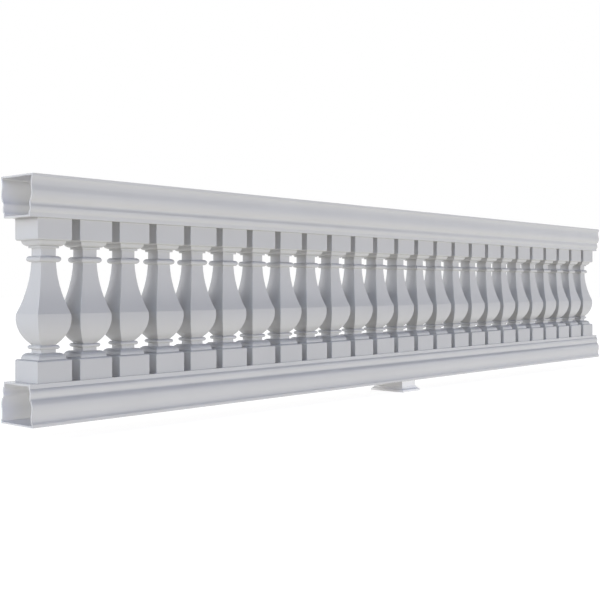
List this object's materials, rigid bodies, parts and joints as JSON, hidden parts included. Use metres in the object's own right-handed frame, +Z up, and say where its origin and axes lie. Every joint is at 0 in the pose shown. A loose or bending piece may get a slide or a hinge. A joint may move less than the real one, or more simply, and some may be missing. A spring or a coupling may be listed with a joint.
{
  "type": "moulded balustrade section",
  "caption": "Straight balustrade section: square vase balusters between hollow moulded rails, with a flanged support foot under the middle; guards a terrace or balcony edge.",
  "frame": {"origin": "on the ground, in the middle of the underside of the support foot's base, at mid-length of the rails", "axes": "+X along the rails, +Y across them towards the back, +Z up"},
  "size_m": [4.007, 0.184, 0.834],
  "materials": {
    "moulding": "smooth satin pale grey moulded resin shell"
  },
  "bodies": {
    "root": {"top_rail": "moulding", "bottom_rail": "moulding", "support_stem": "moulding", "support_base": "moulding", "baluster_01": "moulding", "baluster_02": "moulding", "baluster_03": "moulding", "baluster_04": "moulding", "baluster_05": "moulding", "baluster_06": "moulding", "baluster_07": "moulding", "baluster_08": "moulding", "baluster_09": "moulding", "baluster_10": "moulding", "baluster_11": "moulding", "baluster_12": "moulding", "baluster_13": "moulding", "baluster_14": "moulding", "baluster_15": "moulding", "baluster_16": "moulding", "baluster_17": "moulding", "baluster_18": "moulding", "baluster_19": "moulding", "baluster_20": "moulding", "baluster_21": "moulding", "baluster_22": "moulding", "baluster_23": "moulding", "baluster_24": "moulding", "baluster_25": "moulding"}
  },
  "joints": []
}
